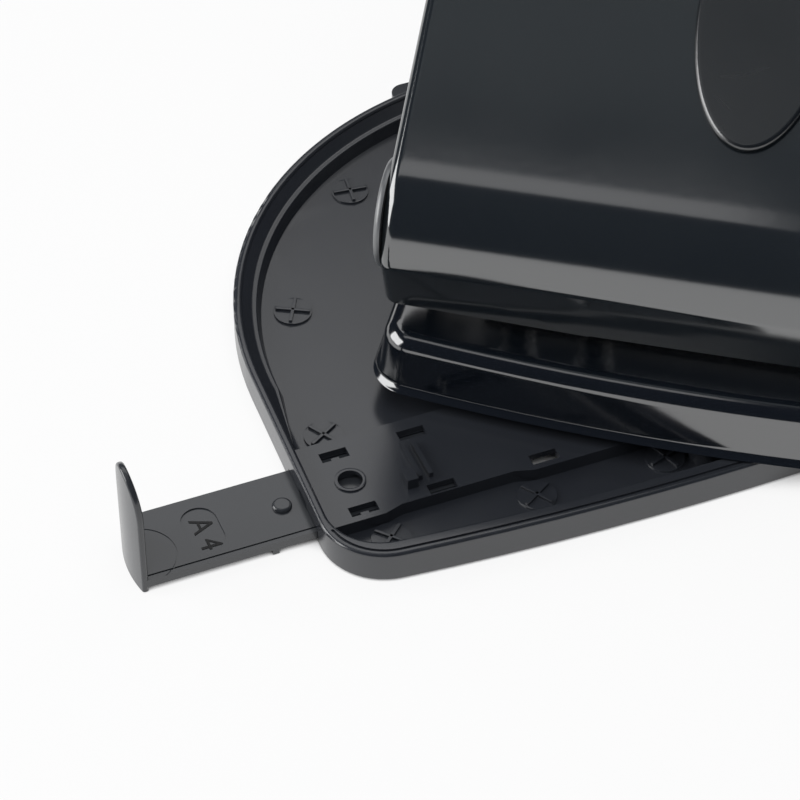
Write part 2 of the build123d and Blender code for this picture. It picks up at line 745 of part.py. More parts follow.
with BuildPart() as pin_collars:
    with BuildSketch(Plane.XY.offset(collar_underside)):
        with Locations(*[(x, pin_line) for x in hole_places]):
            Circle(collar_radius)
            Circle(pin_radius + rivet_fit, mode=Mode.SUBTRACT)
    extrude(amount=collar_thickness)
keep(pin_collars, "pin_collars")

spring_bottom = frame_top + spring_wire / 2 + spring_seat_gap
spring_top = collar_underside - spring_wire / 2 - spring_seat_gap
spring_pitch = (spring_top - spring_bottom) / spring_turns


def coil_point(x, turn):
    around = 2 * pi * turn
    place = Vector(
        x + spring_radius * cos(around), pin_line + spring_radius * sin(around),
        spring_bottom + spring_pitch * turn,
    )
    heading = Vector(-sin(around), cos(around), spring_pitch / (2 * pi * spring_radius))
    return place, heading.normalized()


def coil_gap():
    steps = 24
    points = [tuple(coil_point(0, step / steps)[0]) for step in range(spring_turns * steps + 1)]
    apart = steps // 2
    nearest = min(
        dist(first, second) for index, first in enumerate(points) for second in points[index + apart:]
    )
    return nearest - spring_wire


print("spring's least gap to itself", round(coil_gap(), 2))
for number, x in enumerate(hole_places, start=1):
    with BuildPart() as return_spring:
        with BuildLine() as coil:
            # Each half turn is a pair of arcs that share a tangent where they meet
            for half in range(2 * spring_turns):
                start, leaving = coil_point(x, half / 2)
                end, arriving = coil_point(x, (half + 1) / 2)
                chord = end - start
                headings = leaving + arriving
                slack = 4 - headings.dot(headings)
                along = chord.dot(headings)
                handle_length = (sqrt(along**2 + slack * chord.dot(chord)) - along) / slack
                first_corner = start + leaving * handle_length
                second_corner = end - arriving * handle_length
                middle = (first_corner + second_corner) / 2
                TangentArc(start, middle, tangent=leaving)
                TangentArc(middle, end, tangent=second_corner - first_corner)
        with BuildSketch(Plane(coil.line @ 0, z_dir=coil.line % 0)):
            Circle(spring_wire / 2)
        sweep(path=coil.line)
    keep(return_spring, f"return_spring_{number}")

# Lever
lean = radians(skirt_lean)
skirt_depth = skirt_drop + overrun
crown_turn = radians(lever_crown_turn)
crown_setback = (lever_crown_radius - lever_nose) * sin(crown_turn)
nose_drop = (lever_crown_radius - lever_nose) * (1 - cos(crown_turn))


def lever_profile(inset=0):
    nose = lever_nose - inset
    crown = lever_crown_radius - inset
    touch = (-nose * cos(lean), nose * sin(lean) - nose_drop)
    fall = (touch[1] + skirt_depth) / cos(lean)
    nose_middle = (pi / 2 + crown_turn - lean) / 2
    nose_point = (-nose * cos(nose_middle), nose * sin(nose_middle) - nose_drop)
    nose_end = (-nose * sin(crown_turn), nose * cos(crown_turn) - nose_drop)
    crown_rise = lever_nose - lever_crown_radius
    crown_point = (crown_setback - crown * sin(crown_turn / 2), crown_rise + crown * cos(crown_turn / 2))
    with BuildLine() as outline:
        Line((touch[0] - fall * sin(lean), -skirt_depth), touch)
        ThreePointArc(touch, nose_point, nose_end)
        ThreePointArc(nose_end, crown_point, (crown_setback, nose))
        Polyline(
            (crown_setback, nose), (lever_length - inset, nose), (lever_length - inset, -skirt_depth),
            (touch[0] - fall * sin(lean), -skirt_depth),
        )
    make_face(outline.edges())


def lever_block(inset):
    with BuildPart() as block:
        with BuildSketch(lever_end_plane):
            lever_profile(inset)
        extrude(amount=lever_half_length - inset, both=True)
        with BuildSketch(lever_top_plane) as plan:
            with Locations((0, lever_length - inset)):
                Rectangle(
                    2 * (lever_half_length - inset), lever_length + 2 * lever_nose + skirt_depth,
                    align=(Align.CENTER, Align.MAX),
                )
            fillet(plan.vertices().group_by(Axis.Y)[-1], lever_corner - inset)
        extrude(amount=lever_nose + skirt_depth, both=True, mode=Mode.INTERSECT)
        upward = Axis(pivot, lever_up)
        backward = Axis(pivot, lever_back)
        bottom_edges = block.faces().sort_by(upward)[0].edges()
        across = block.edges().filter_by(Axis.X)
        upright = block.edges().filter_by(Axis((0, 0, 0), lever_up))
        back_edge = (across - bottom_edges).sort_by(backward)[-1]
        fillet(block.edges() - across - upright - bottom_edges + [back_edge], lever_edge_round - inset)
    return block.part


lever_solid = lever_block(0)
lever_hollow = lever_block(lever_sheet)
with BuildPart() as handle:
    add(lever_solid)
    add(lever_hollow, mode=Mode.SUBTRACT)
    # Lower edge: deep at the cheeks, shallow at the back
    with BuildSketch(lever_end_plane):
        with BuildLine():
            Polyline(
                (-2 * lever_nose - overrun, -skirt_drop), (-lever_nose, -skirt_drop),
                (cheek_reach, -cheek_drop), (lever_length + overrun, lever_nose - rear_lip),
                (lever_length + overrun, -2 * skirt_depth), (-2 * lever_nose - overrun, -2 * skirt_depth),
                close=True,
            )
        make_face()
    extrude(amount=lever_half_length + overrun, both=True, mode=Mode.SUBTRACT)
    with BuildSketch(lever_end_plane):
        with Locations((-lever_nose, -skirt_drop)):
            Rectangle(lever_nose, 2 * skirt_notch)
    extrude(amount=skirt_notch_half, both=True, mode=Mode.SUBTRACT)
    with BuildSketch(lever_end_plane):
        Circle(bush_outer_radius + rivet_fit)
    extrude(amount=lever_half_length + overrun, both=True, mode=Mode.SUBTRACT)
    with BuildSketch(lever_top_plane):
        for step in (-1, 1):
            with Locations((0, pad_front + (pad_length + step * pad_peg_spread) / 2)):
                Circle(pad_peg_radius + rivet_fit)
    extrude(amount=lever_nose + overrun, mode=Mode.SUBTRACT)
keep(handle, "handle")

with BuildPart() as palm_pad:
    with BuildSketch(lever_top_plane.offset(lever_nose)):
        with Locations((0, pad_front + pad_length / 2)):
            Ellipse(pad_width / 2, pad_length / 2)
    extrude(amount=pad_height)
    fillet(palm_pad.edges().sort_by(Axis(pivot, lever_up))[-1], pad_round)
    with BuildSketch(lever_top_plane.offset(lever_nose)):
        for step in (-1, 1):
            with Locations((0, pad_front + (pad_length + step * pad_peg_spread) / 2)):
                Circle(pad_peg_radius)
    extrude(amount=-pad_peg_length)
keep(palm_pad, "palm_pad")

# Press bar: a rib under the lever with a round foot over the pins
with BuildPart() as press_bar:
    with BuildSketch(lever_end_plane):
        with Locations((bar_arm, 0)):
            Circle(bar_radius)
            Rectangle(bar_web, lever_nose - lever_sheet, align=(Align.CENTER, Align.MIN))
    extrude(amount=frame_half_length, both=True)
keep(press_bar, "press_bar")

# Round caps over the pivot ends
for side, name in ((-1, "pivot_cap_left"), (1, "pivot_cap_right")):
    with BuildPart() as pivot_cap:
        with BuildSketch(end_plane.offset(side * lever_half_length)):
            with Locations((pivot_setback, pivot_height)):
                Circle(cap_radius)
        extrude(amount=side * cap_height)
        outer_face = pivot_cap.faces().sort_by(Axis.X)[-1 if side > 0 else 0]
        fillet(outer_face.edges(), cap_round)
        with BuildSketch(end_plane.offset(side * lever_half_length)):
            with Locations((pivot_setback, pivot_height)):
                Circle(bush_outer_radius)
        extrude(amount=side * cap_recess, mode=Mode.SUBTRACT)
    keep(pivot_cap, name)
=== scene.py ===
import json
import math

import bpy
from mathutils import Matrix, Vector


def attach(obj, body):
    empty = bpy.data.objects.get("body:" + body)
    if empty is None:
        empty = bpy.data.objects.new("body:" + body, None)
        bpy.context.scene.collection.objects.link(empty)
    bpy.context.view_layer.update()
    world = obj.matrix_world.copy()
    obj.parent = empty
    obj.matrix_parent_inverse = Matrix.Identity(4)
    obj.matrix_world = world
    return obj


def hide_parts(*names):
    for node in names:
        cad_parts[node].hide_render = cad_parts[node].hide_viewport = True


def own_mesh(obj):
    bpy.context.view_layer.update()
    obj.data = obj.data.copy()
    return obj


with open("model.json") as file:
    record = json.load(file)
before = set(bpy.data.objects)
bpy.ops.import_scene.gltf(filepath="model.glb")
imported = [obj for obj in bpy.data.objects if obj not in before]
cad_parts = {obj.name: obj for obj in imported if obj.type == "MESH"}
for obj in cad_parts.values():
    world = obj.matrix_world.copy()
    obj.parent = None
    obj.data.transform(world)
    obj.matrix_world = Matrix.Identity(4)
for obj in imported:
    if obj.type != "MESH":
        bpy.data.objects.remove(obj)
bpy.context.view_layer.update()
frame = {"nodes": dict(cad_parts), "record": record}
nodes = frame["nodes"]
mm = 0.001
traySwing = math.radians(34.5)  # the tray stands swung out by this much
print("frame loaded, nodes:", len(nodes))


def pickOnly(piece):
    if bpy.context.object and bpy.context.object.mode != "OBJECT":
        bpy.ops.object.mode_set(mode="OBJECT")
    bpy.ops.object.select_all(action="DESELECT")
    piece.select_set(True)
    bpy.context.view_layer.objects.active = piece


def settle(piece):  # its place goes into its mesh
    pickOnly(piece)
    bpy.ops.object.transform_apply(location=True, rotation=True, scale=True)


def finishPiece(piece, body, material):
    piece.data.materials.clear()
    piece.data.materials.append(material)
    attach(piece, body)


flatWeight = 60  # how far large flat faces rule the shading


def softenEdges(piece, width, steps, sharpAngle):
    pickOnly(piece)
    if width:
        bevel = piece.modifiers.new("softEdges", "BEVEL")
        bevel.width = width
        bevel.segments = steps
        bevel.limit_method = "ANGLE"
        bevel.angle_limit = math.radians(sharpAngle)
        bevel.use_clamp_overlap = True
        bevel.harden_normals = False
        bpy.ops.object.modifier_apply(modifier="softEdges")
    bpy.ops.object.shade_smooth_by_angle(angle=math.radians(sharpAngle))
    weigh = piece.modifiers.new("evenShading", "WEIGHTED_NORMAL")
    weigh.mode = "FACE_AREA"
    weigh.weight = flatWeight
    weigh.keep_sharp = True
    bpy.ops.object.modifier_apply(modifier="evenShading")


def smoothCopy(look, material, reshape=None):  # closed, evenly shaded copy of a CAD node
    source = nodes[look["node"]]
    piece = bpy.data.objects.new(look["name"], source.data.copy())
    bpy.context.scene.collection.objects.link(piece)
    pickOnly(piece)
    bpy.ops.mesh.customdata_custom_splitnormals_clear()
    bpy.ops.object.mode_set(mode="EDIT")
    bpy.ops.mesh.select_all(action="SELECT")
    bpy.ops.mesh.remove_doubles(threshold=look["join"])
    bpy.ops.mesh.dissolve_limited(angle_limit=math.radians(look["flat"]))
    bpy.ops.object.mode_set(mode="OBJECT")
    if reshape:
        reshape(piece)
    softenEdges(piece, look["edge"], look["steps"], look["sharp"])
    finishPiece(piece, look["body"], material)
    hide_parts(look["node"])
    print("smoothed", look["name"], "faces:", len(piece.data.polygons))
    return piece


# Nose of the lever: one wide round with a slight bow, where the solid has a crown, a tighter round
# and a flat skirt

noseLook = {
    "setback": 16.5 * mm, "height": 55.5 * mm, "rise": math.radians(28.0),  # pivot and tilt
    "top": 16.0 * mm, "half": 87.2 * mm, "edge": 3.4 * mm, "sheet": 1.2 * mm,  # the pressing
    "crown": 72.0 * mm, "turn": math.radians(12.0), "nose": 16.0 * mm,  # the solid's two rounds
    "lean": math.radians(9.4), "drop": 15.8 * mm,  # the solid's skirt
    "round": 26.3 * mm, "start": 6.9 * mm, "end": math.radians(100.7),  # the wide round
    "bow": 1.7 * mm, "bowReach": 22.0 * mm,
    "near": 0.15 * mm, "deep": 4.0 * mm, "fade": 3.0 * mm,  # what counts as skin, what moves with it
    "crownCuts": 8, "noseCuts": 24, "skirtCuts": 14, "crossCuts": 10,
}


def leverPlace(look, point):  # how far behind the pivot and above it, in the lever's own plane
    back, up = point[1] - look["setback"], point[2] - look["height"]
    cosine, sine = math.cos(look["rise"]), math.sin(look["rise"])
    return back * cosine + up * sine, up * cosine - back * sine


def worldPlace(look, across, back, up):
    cosine, sine = math.cos(look["rise"]), math.sin(look["rise"])
    return (across, look["setback"] + back * cosine - up * sine,
            look["height"] + back * sine + up * cosine)


def solidCourse(look):  # where the solid's crown, nose and skirt lie, and how far each runs
    over = look["crown"] - look["nose"]
    noseDrop = over * (1 - math.cos(look["turn"]))
    sweep = math.pi / 2 - look["lean"] - look["turn"]
    touch = (-look["nose"] * math.cos(look["lean"]),
             look["nose"] * math.sin(look["lean"]) - noseDrop)
    return {
        "crownBack": over * math.sin(look["turn"]), "noseDrop": noseDrop, "sweep": sweep,
        "touch": touch, "crownRun": look["crown"] * look["turn"], "noseRun": look["nose"] * sweep,
        "skirtRun": (touch[1] + look["drop"]) / math.cos(look["lean"]),
    }


def alongSolid(look, course, back, up):  # how far round the solid's nose a point is, and how deep
    crown, nose, turn = look["crown"], look["nose"], look["turn"]
    cosine, sine = math.cos(look["lean"]), math.sin(look["lean"])
    behind, above = back - course["touch"][0], up - course["touch"][1]
    angle = math.atan2(-back, up + course["noseDrop"])
    down = -behind * sine - above * cosine
    if angle > 0 and down > 0:
        return course["crownRun"] + course["noseRun"] + down, behind * cosine - above * sine
    if angle > turn:
        depth = nose - math.hypot(back, up + course["noseDrop"])
        return course["crownRun"] + nose * (angle - turn), depth
    ahead, rise = course["crownBack"] - back, up - look["top"] + crown
    return crown * math.atan2(ahead, rise), crown - math.hypot(ahead, rise)


def skinDepth(look, across, depth):  # a point near either skin goes exactly onto it
    over = max(0.0, abs(across) - look["half"] + look["edge"])
    outer = look["edge"] - math.sqrt(max(0.0, look["edge"] ** 2 - over ** 2))
    bend = look["edge"] - look["sheet"]
    inner = look["edge"] - math.sqrt(max(0.0, bend ** 2 - over ** 2))
    for skin in (outer, inner):
        if abs(depth - skin) < look["near"]:
            return skin
    return depth


def cutNose(piece, look, course):  # rows of vertices round the nose and along it
    pickOnly(piece)
    for face in piece.data.polygons:
        face.select = leverPlace(look, face.center)[0] < course["crownBack"] + look["near"]
    bpy.ops.object.mode_set(mode="EDIT")
    bpy.ops.mesh.select_mode(type="FACE")
    cuts = []
    for step in range(1, look["crownCuts"]):
        angle = look["turn"] * step / look["crownCuts"]
        cuts.append((course["crownBack"], look["top"] - look["crown"], angle))
    for step in range(look["noseCuts"] + 1):
        angle = look["turn"] + course["sweep"] * step / look["noseCuts"]
        cuts.append((0.0, -course["noseDrop"], angle))
    for step in range(1, look["skirtCuts"]):
        run = course["skirtRun"] * step / look["skirtCuts"]
        back = course["touch"][0] - run * math.sin(look["lean"])
        up = course["touch"][1] - run * math.cos(look["lean"])
        cuts.append((back, up, math.pi / 2 - look["lean"]))
    for back, up, angle in cuts:
        place = worldPlace(look, 0.0, back, up)
        ahead = worldPlace(look, 0.0, back - math.cos(angle), up - math.sin(angle))
        bpy.ops.mesh.bisect(plane_co=place, plane_no=[b - a for a, b in zip(place, ahead)])
    for step in range(1 - look["crossCuts"], look["crossCuts"]):
        across = look["half"] * step / look["crossCuts"]
        bpy.ops.mesh.bisect(plane_co=(across, 0.0, 0.0), plane_no=(1, 0, 0))
    bpy.ops.object.mode_set(mode="OBJECT")


def roundNose(piece):
    look = noseLook
    course = solidCourse(look)
    cutNose(piece, look, course)
    flatRun = course["crownBack"] - look["start"]
    solidRun = course["crownRun"] + course["noseRun"] + course["skirtRun"]
    share = (flatRun + look["round"] * look["end"]) / solidRun
    for vertex in piece.data.vertices:
        across = vertex.co.x
        back, up = leverPlace(look, vertex.co)
        if back > course["crownBack"]:
            continue
        run, depth = alongSolid(look, course, back, up)
        depth = skinDepth(look, across, depth)
        weight = min(1.0, max(0.0, (look["deep"] + look["fade"] - depth) / look["fade"]))
        if weight == 0 or run < 0:
            continue
        run = run * share
        if run < flatRun:
            newBack, newUp = course["crownBack"] - run, look["top"] - depth
        else:
            angle, arm = (run - flatRun) / look["round"], look["round"] - depth
            newBack = look["start"] - arm * math.sin(angle)
            newUp = look["top"] - look["round"] + arm * math.cos(angle)
        reach = min(1.0, run / look["bowReach"])
        bow = look["bow"] * (1 - (across / look["half"]) ** 2)
        newBack -= bow * reach * reach * (3 - 2 * reach)  # comes in gently from the top
        vertex.co = worldPlace(look, across, back + (newBack - back) * weight,
                               up + (newUp - up) * weight)


# Shader helpers

def feed(tree, socket, value):  # a link from another socket, or a plain value
    if hasattr(value, "links"):
        tree.links.new(value, socket)
    else:
        socket.default_value = value


def newGroup(name, values, results):  # place and plain values in, plain values out
    group = bpy.data.node_groups.new(name, "ShaderNodeTree")
    group.interface.new_socket("Vector", in_out="INPUT", socket_type="NodeSocketVector")
    for title, value in values.items():
        socket = group.interface.new_socket(title, in_out="INPUT", socket_type="NodeSocketFloat")
        socket.default_value = value
    for title in results:
        group.interface.new_socket(title, in_out="OUTPUT", socket_type="NodeSocketFloat")
    given = group.nodes.new("NodeGroupInput")
    result = group.nodes.new("NodeGroupOutput")
    return group, given.outputs, result.inputs


def noiseNode(tree, vector, scale, detail, roughness):
    node = tree.nodes.new("ShaderNodeTexNoise")
    feed(tree, node.inputs["Vector"], vector)
    feed(tree, node.inputs["Scale"], scale)
    feed(tree, node.inputs["Detail"], detail)
    feed(tree, node.inputs["Roughness"], roughness)
    return node.outputs


def mathNode(tree, operation, first, second):
    node = tree.nodes.new("ShaderNodeMath")
    node.operation = operation
    feed(tree, node.inputs[0], first)
    feed(tree, node.inputs[1], second)
    return node.outputs[0]


def rangeNode(tree, value, fromMin, fromMax, toMin, toMax):
    node = tree.nodes.new("ShaderNodeMapRange")
    feed(tree, node.inputs["Value"], value)
    feed(tree, node.inputs["From Min"], fromMin)
    feed(tree, node.inputs["From Max"], fromMax)
    feed(tree, node.inputs["To Min"], toMin)
    feed(tree, node.inputs["To Max"], toMax)
    return node.outputs["Result"]


def mixColour(tree, factor, first, second):
    node = tree.nodes.new("ShaderNodeMix")
    node.data_type = "RGBA"
    feed(tree, node.inputs["Factor"], factor)
    feed(tree, node.inputs[6], first)  # colours A and B
    feed(tree, node.inputs[7], second)
    return node.outputs[2]


# Surface effects that several finishes share; a noise has scale, detail and roughness

grainLook = {"fine": (3.0, 0.6), "clouds": (38.0, 4.0, 0.55), "flow": (9.0, 2.0, 0.5),
             "cloudShare": 0.6, "flowShare": 0.4, "low": 0.3, "high": 0.7}


def makeGrainGroup(look):  # grain of a spark-eroded mould, with soft clouds of gloss
    group, given, result = newGroup(
        "mouldGrain", {"Grain Scale": 2600.0, "Gloss": 0.4, "Gloss Spread": 0.06},
        ("Tone", "Roughness", "Height"))
    fine = noiseNode(group, given["Vector"], given["Grain Scale"], *look["fine"])
    clouds = noiseNode(group, given["Vector"], *look["clouds"])
    flow = noiseNode(group, given["Vector"], *look["flow"])
    tone = mathNode(group, "ADD", mathNode(group, "MULTIPLY", clouds["Fac"], look["cloudShare"]),
                    mathNode(group, "MULTIPLY", flow["Fac"], look["flowShare"]))
    shiny = mathNode(group, "SUBTRACT", given["Gloss"], given["Gloss Spread"])
    dull = mathNode(group, "ADD", given["Gloss"], given["Gloss Spread"])
    feed(group, result["Tone"], rangeNode(group, tone, look["low"], look["high"], 0.0, 1.0))
    feed(group, result["Roughness"], rangeNode(group, tone, look["low"], look["high"], shiny, dull))
    feed(group, result["Height"], fine["Fac"])
    return group


handlingLook = {"bend": (22.0, 2.0, 0.5), "bendReach": 0.02, "hairs": 60.0, "hairWidth": 0.012,
                "patches": (35.0, 3.0, 0.6), "bare": 0.55, "worn": 0.75,
                "specks": 420.0, "speckCore": 0.05, "speckEdge": 0.12}


def makeHandlingGroup(look):  # hairline scratches and specks of dust, in patches
    group, given, result = newGroup("handling", {"Amount": 0.3}, ("Scratch", "Dust"))
    bend = noiseNode(group, given["Vector"], *look["bend"])
    spread = group.nodes.new("ShaderNodeVectorMath")
    spread.operation = "SCALE"
    feed(group, spread.inputs["Scale"], look["bendReach"])
    feed(group, spread.inputs[0], bend["Color"])
    shift = group.nodes.new("ShaderNodeVectorMath")
    shift.operation = "ADD"
    feed(group, shift.inputs[0], given["Vector"])
    feed(group, shift.inputs[1], spread.outputs["Vector"])
    hairs = group.nodes.new("ShaderNodeTexVoronoi")
    hairs.feature = "DISTANCE_TO_EDGE"
    feed(group, hairs.inputs["Scale"], look["hairs"])
    feed(group, hairs.inputs["Vector"], shift.outputs["Vector"])
    specks = group.nodes.new("ShaderNodeTexVoronoi")
    feed(group, specks.inputs["Scale"], look["specks"])
    feed(group, specks.inputs["Vector"], given["Vector"])
    patches = noiseNode(group, given["Vector"], *look["patches"])
    where = rangeNode(group, patches["Fac"], look["bare"], look["worn"], 0.0, 1.0)
    line = rangeNode(group, hairs.outputs["Distance"], 0.0, look["hairWidth"], 1.0, 0.0)
    dot = rangeNode(group, specks.outputs["Distance"], look["speckCore"], look["speckEdge"], 1.0, 0.0)
    for title, mark in (("Scratch", line), ("Dust", dot)):
        shown = mathNode(group, "MULTIPLY", mark, where)
        feed(group, result[title], mathNode(group, "MULTIPLY", shown, given["Amount"]))
    return group


peelLook = {"ripple": (1.5, 0.4), "clouds": (16.0, 3.0, 0.5), "low": 0.3, "high": 0.7}


def makePeelGroup(look):  # faint ripple of baked enamel over pressed sheet
    group, given, result = newGroup("enamelPeel", {"Ripple Scale": 340.0}, ("Height", "Cloud"))
    ripple = noiseNode(group, given["Vector"], given["Ripple Scale"], *look["ripple"])
    clouds = noiseNode(group, given["Vector"], *look["clouds"])
    feed(group, result["Height"], ripple["Fac"])
    feed(group, result["Cloud"], rangeNode(group, clouds["Fac"], look["low"], look["high"], 0.0, 1.0))
    return group


grainGroup = makeGrainGroup(grainLook)
handlingGroup = makeHandlingGroup(handlingLook)
peelGroup = makePeelGroup(peelLook)


# Finishes

def newFinish(name):
    material = bpy.data.materials.new(name)
    material.use_nodes = True
    tree = material.node_tree
    place = tree.nodes.new("ShaderNodeTexCoord")
    return material, tree, tree.nodes["Principled BSDF"].inputs, place.outputs["Object"]


def addGroup(tree, group, vector, values):
    node = tree.nodes.new("ShaderNodeGroup")
    node.node_tree = group
    feed(tree, node.inputs["Vector"], vector)
    for title, value in values.items():
        feed(tree, node.inputs[title], value)
    return node.outputs


def addBump(tree, surface, height, look):
    bump = tree.nodes.new("ShaderNodeBump")
    feed(tree, bump.inputs["Strength"], look["bump"])
    feed(tree, bump.inputs["Distance"], look["depth"])
    feed(tree, bump.inputs["Height"], height)
    feed(tree, surface["Normal"], bump.outputs["Normal"])


def plasticFinish(name, look):
    material, tree, surface, place = newFinish(name)
    grain = addGroup(tree, grainGroup, place, {
        "Grain Scale": look["grain"], "Gloss": look["gloss"], "Gloss Spread": look["spread"]})
    handling = addGroup(tree, handlingGroup, place, {"Amount": look["handling"]})
    clean = mixColour(tree, grain["Tone"], look["dark"], look["light"])
    feed(tree, surface["Base Color"], mixColour(tree, handling["Dust"], clean, look["dust"]))
    feed(tree, surface["Roughness"], mathNode(tree, "ADD", grain["Roughness"], handling["Scratch"]))
    addBump(tree, surface, grain["Height"], look)
    feed(tree, surface["IOR"], look["ior"])
    return material


def enamelFinish(name, look):
    material, tree, surface, place = newFinish(name)
    peel = addGroup(tree, peelGroup, place, {"Ripple Scale": look["ripple"]})
    handling = addGroup(tree, handlingGroup, place, {"Amount": look["handling"]})
    clean = mixColour(tree, peel["Cloud"], look["dark"], look["light"])
    feed(tree, surface["Base Color"], mixColour(tree, handling["Dust"], clean, look["dust"]))
    gloss = rangeNode(tree, peel["Cloud"], 0.0, 1.0, look["glossLow"], look["glossHigh"])
    feed(tree, surface["Roughness"], mathNode(tree, "ADD", gloss, handling["Scratch"]))
    addBump(tree, surface, peel["Height"], look)
    feed(tree, surface["IOR"], look["ior"])
    return material


brushLook = {"detail": 3.0, "roughness": 0.6, "low": 0.3, "high": 0.7}


def steelFinish(name, look):
    material, tree, surface, place = newFinish(name)
    stretch = tree.nodes.new("ShaderNodeMapping")
    feed(tree, stretch.inputs["Scale"], look["brush"])
    feed(tree, stretch.inputs["Vector"], place)
    brush = noiseNode(tree, stretch.outputs["Vector"], look["grain"], brushLook["detail"],
                      brushLook["roughness"])["Fac"]
    handling = addGroup(tree, handlingGroup, place, {"Amount": look["handling"]})
    feed(tree, surface["Base Color"], mixColour(tree, brush, look["dark"], look["light"]))
    gloss = rangeNode(tree, brush, brushLook["low"], brushLook["high"],
                      look["glossLow"], look["glossHigh"])
    feed(tree, surface["Roughness"], mathNode(tree, "ADD", gloss, handling["Scratch"]))
    addBump(tree, surface, brush, look)
    feed(tree, surface["Metallic"], 1.0)
    return material


enamelLook = {"ripple": 340.0, "handling": 0.05, "bump": 0.03, "depth": 0.0002,
              "glossLow": 0.10, "glossHigh": 0.14, "ior": 2.4}
finishes = {
    "tray_plastic": plasticFinish("trayPlastic", {
        "grain": 2600.0, "gloss": 0.22, "spread": 0.03, "handling": 0.03, "bump": 0.08,
        "depth": 0.00008, "ior": 1.75, "dust": (0.08, 0.08, 0.08, 1),
        "dark": (0.0215, 0.0240, 0.0300, 1), "light": (0.0280, 0.0310, 0.0370, 1)}),
    "guide_plastic": plasticFinish("guidePlastic", {
        "grain": 2200.0, "gloss": 0.22, "spread": 0.03, "handling": 0.10, "bump": 0.08,
        "depth": 0.00008, "ior": 1.7, "dust": (0.08, 0.08, 0.08, 1),
        "dark": (0.028, 0.031, 0.036, 1), "light": (0.036, 0.039, 0.044, 1)}),
    "black_steel": enamelFinish("blackEnamel", {
        **enamelLook, "dust": (0.03, 0.03, 0.03, 1),
        "dark": (0.0038, 0.0056, 0.0085, 1), "light": (0.0050, 0.0070, 0.0105, 1)}),
    # painted sheen: the lever's copy of the black enamel gets a lighter, greener base than the bed,
    # standing in for the light its top catches
    "lever_steel": enamelFinish("leverEnamelPaintedSheen", {
        **enamelLook, "dust": (0.04, 0.04, 0.04, 1),
        "dark": (0.0105, 0.0140, 0.0170, 1), "light": (0.0135, 0.0170, 0.0200, 1)}),
    "plated_steel": steelFinish("zincPlate", {
        "brush": (1.0, 1.0, 1.0), "grain": 700.0, "handling": 0.1, "bump": 0.05, "depth": 0.0001,
        "glossLow": 0.22, "glossHigh": 0.34,
        "dark": (0.56, 0.57, 0.58, 1), "light": (0.68, 0.69, 0.70, 1)}),
    "bare_steel": steelFinish("groundSteel", {
        "brush": (1.0, 1.0, 12.0), "grain": 500.0, "handling": 0.15, "bump": 0.06, "depth": 0.0001,
        "glossLow": 0.18, "glossHigh": 0.3,
        "dark": (0.46, 0.46, 0.47, 1), "light": (0.62, 0.62, 0.63, 1)}),
    "spring_steel": steelFinish("springWire", {
        "brush": (1.0, 1.0, 1.0), "grain": 1500.0, "handling": 0.05, "bump": 0.04, "depth": 0.00005,
        "glossLow": 0.2, "glossHigh": 0.32,
        "dark": (0.4, 0.39, 0.38, 1), "light": (0.52, 0.51, 0.5, 1)}),
    "pad_plastic": plasticFinish("padPlastic", {
        "grain": 1800.0, "gloss": 0.26, "spread": 0.03, "handling": 0.06, "bump": 0.06,
        "depth": 0.0001, "ior": 2.1, "dust": (0.04, 0.04, 0.04, 1),
        "dark": (0.0065, 0.0085, 0.0105, 1), "light": (0.0085, 0.0105, 0.0125, 1)}),
    # painted sheen: the black caps get a light grey base that stands in for the left lamp's glow on
    # their faces
    "cap_plastic": plasticFinish("capPlasticPaintedSheen", {
        "grain": 2200.0, "gloss": 0.40, "spread": 0.04, "handling": 0.08, "bump": 0.04,
        "depth": 0.00006, "ior": 2.2, "dust": (0.12, 0.12, 0.12, 1),
        "dark": (0.080, 0.085, 0.090, 1), "light": (0.100, 0.105, 0.110, 1)}),
    "bush_plastic": plasticFinish("bushNylon", {
        "grain": 1500.0, "gloss": 0.45, "spread": 0.06, "handling": 0.05, "bump": 0.1,
        "depth": 0.00008, "ior": 1.5, "dust": (0.3, 0.3, 0.3, 1),
        "dark": (0.5, 0.49, 0.45, 1), "light": (0.6, 0.59, 0.55, 1)}),
    "rubber": plasticFinish("footRubber", {
        "grain": 1200.0, "gloss": 0.72, "spread": 0.08, "handling": 0.2, "bump": 0.3,
        "depth": 0.0001, "ior": 1.5, "dust": (0.12, 0.12, 0.115, 1),
        "dark": (0.014, 0.014, 0.0145, 1), "light": (0.022, 0.022, 0.0225, 1)}),
}
print("finishes made:", len(finishes))

# Every CAD node takes the finish of its slot

for part in frame["record"]["subparts"]:
    node = nodes[part["node"]]
    node.data.materials.clear()
    node.data.materials.append(finishes[part["material_slot"]])

# Large pieces, closed up and softened

copyLook = {"join": 2e-6, "flat": 0.2, "edge": 0.0, "steps": 2, "sharp": 30}
trayLook = {**copyLook, "node": "tray", "name": "trayMoulding", "body": "tray",
            "slot": "tray_plastic", "flat": 0.001, "edge": 0.00022, "sharp": 55}
guideLook = {**copyLook, "node": "paper_guide", "name": "guideMoulding", "body": "guide",
             "slot": "guide_plastic", "edge": 0.0003, "steps": 3, "sharp": 50}
bedLook = {**copyLook, "node": "bed", "name": "bedPressing", "body": "bed",
           "slot": "black_steel", "edge": 0.0003, "steps": 3, "sharp": 25}
leverLook = {**copyLook, "node": "handle", "name": "leverPressing", "body": "handle",
             "slot": "black_steel", "sharp": 25}
padLook = {**copyLook, "node": "palm_pad", "name": "palmPadMoulding", "body": "handle",
           "slot": "pad_plastic"}
capLeftLook = {**copyLook, "node": "pivot_cap_left", "name": "capLeftMoulding", "body": "handle",
               "slot": "cap_plastic"}
capRightLook = {**copyLook, "node": "pivot_cap_right", "name": "capRightMoulding", "body": "handle",
                "slot": "cap_plastic"}
for look in (trayLook, guideLook, bedLook, padLook, capLeftLook, capRightLook):
    smoothCopy(look, finishes[look["slot"]])
# the lever takes the lighter enamel, a painted sheen over the same black paint as the bed
smoothCopy(leverLook, finishes["lever_steel"], roundNose)
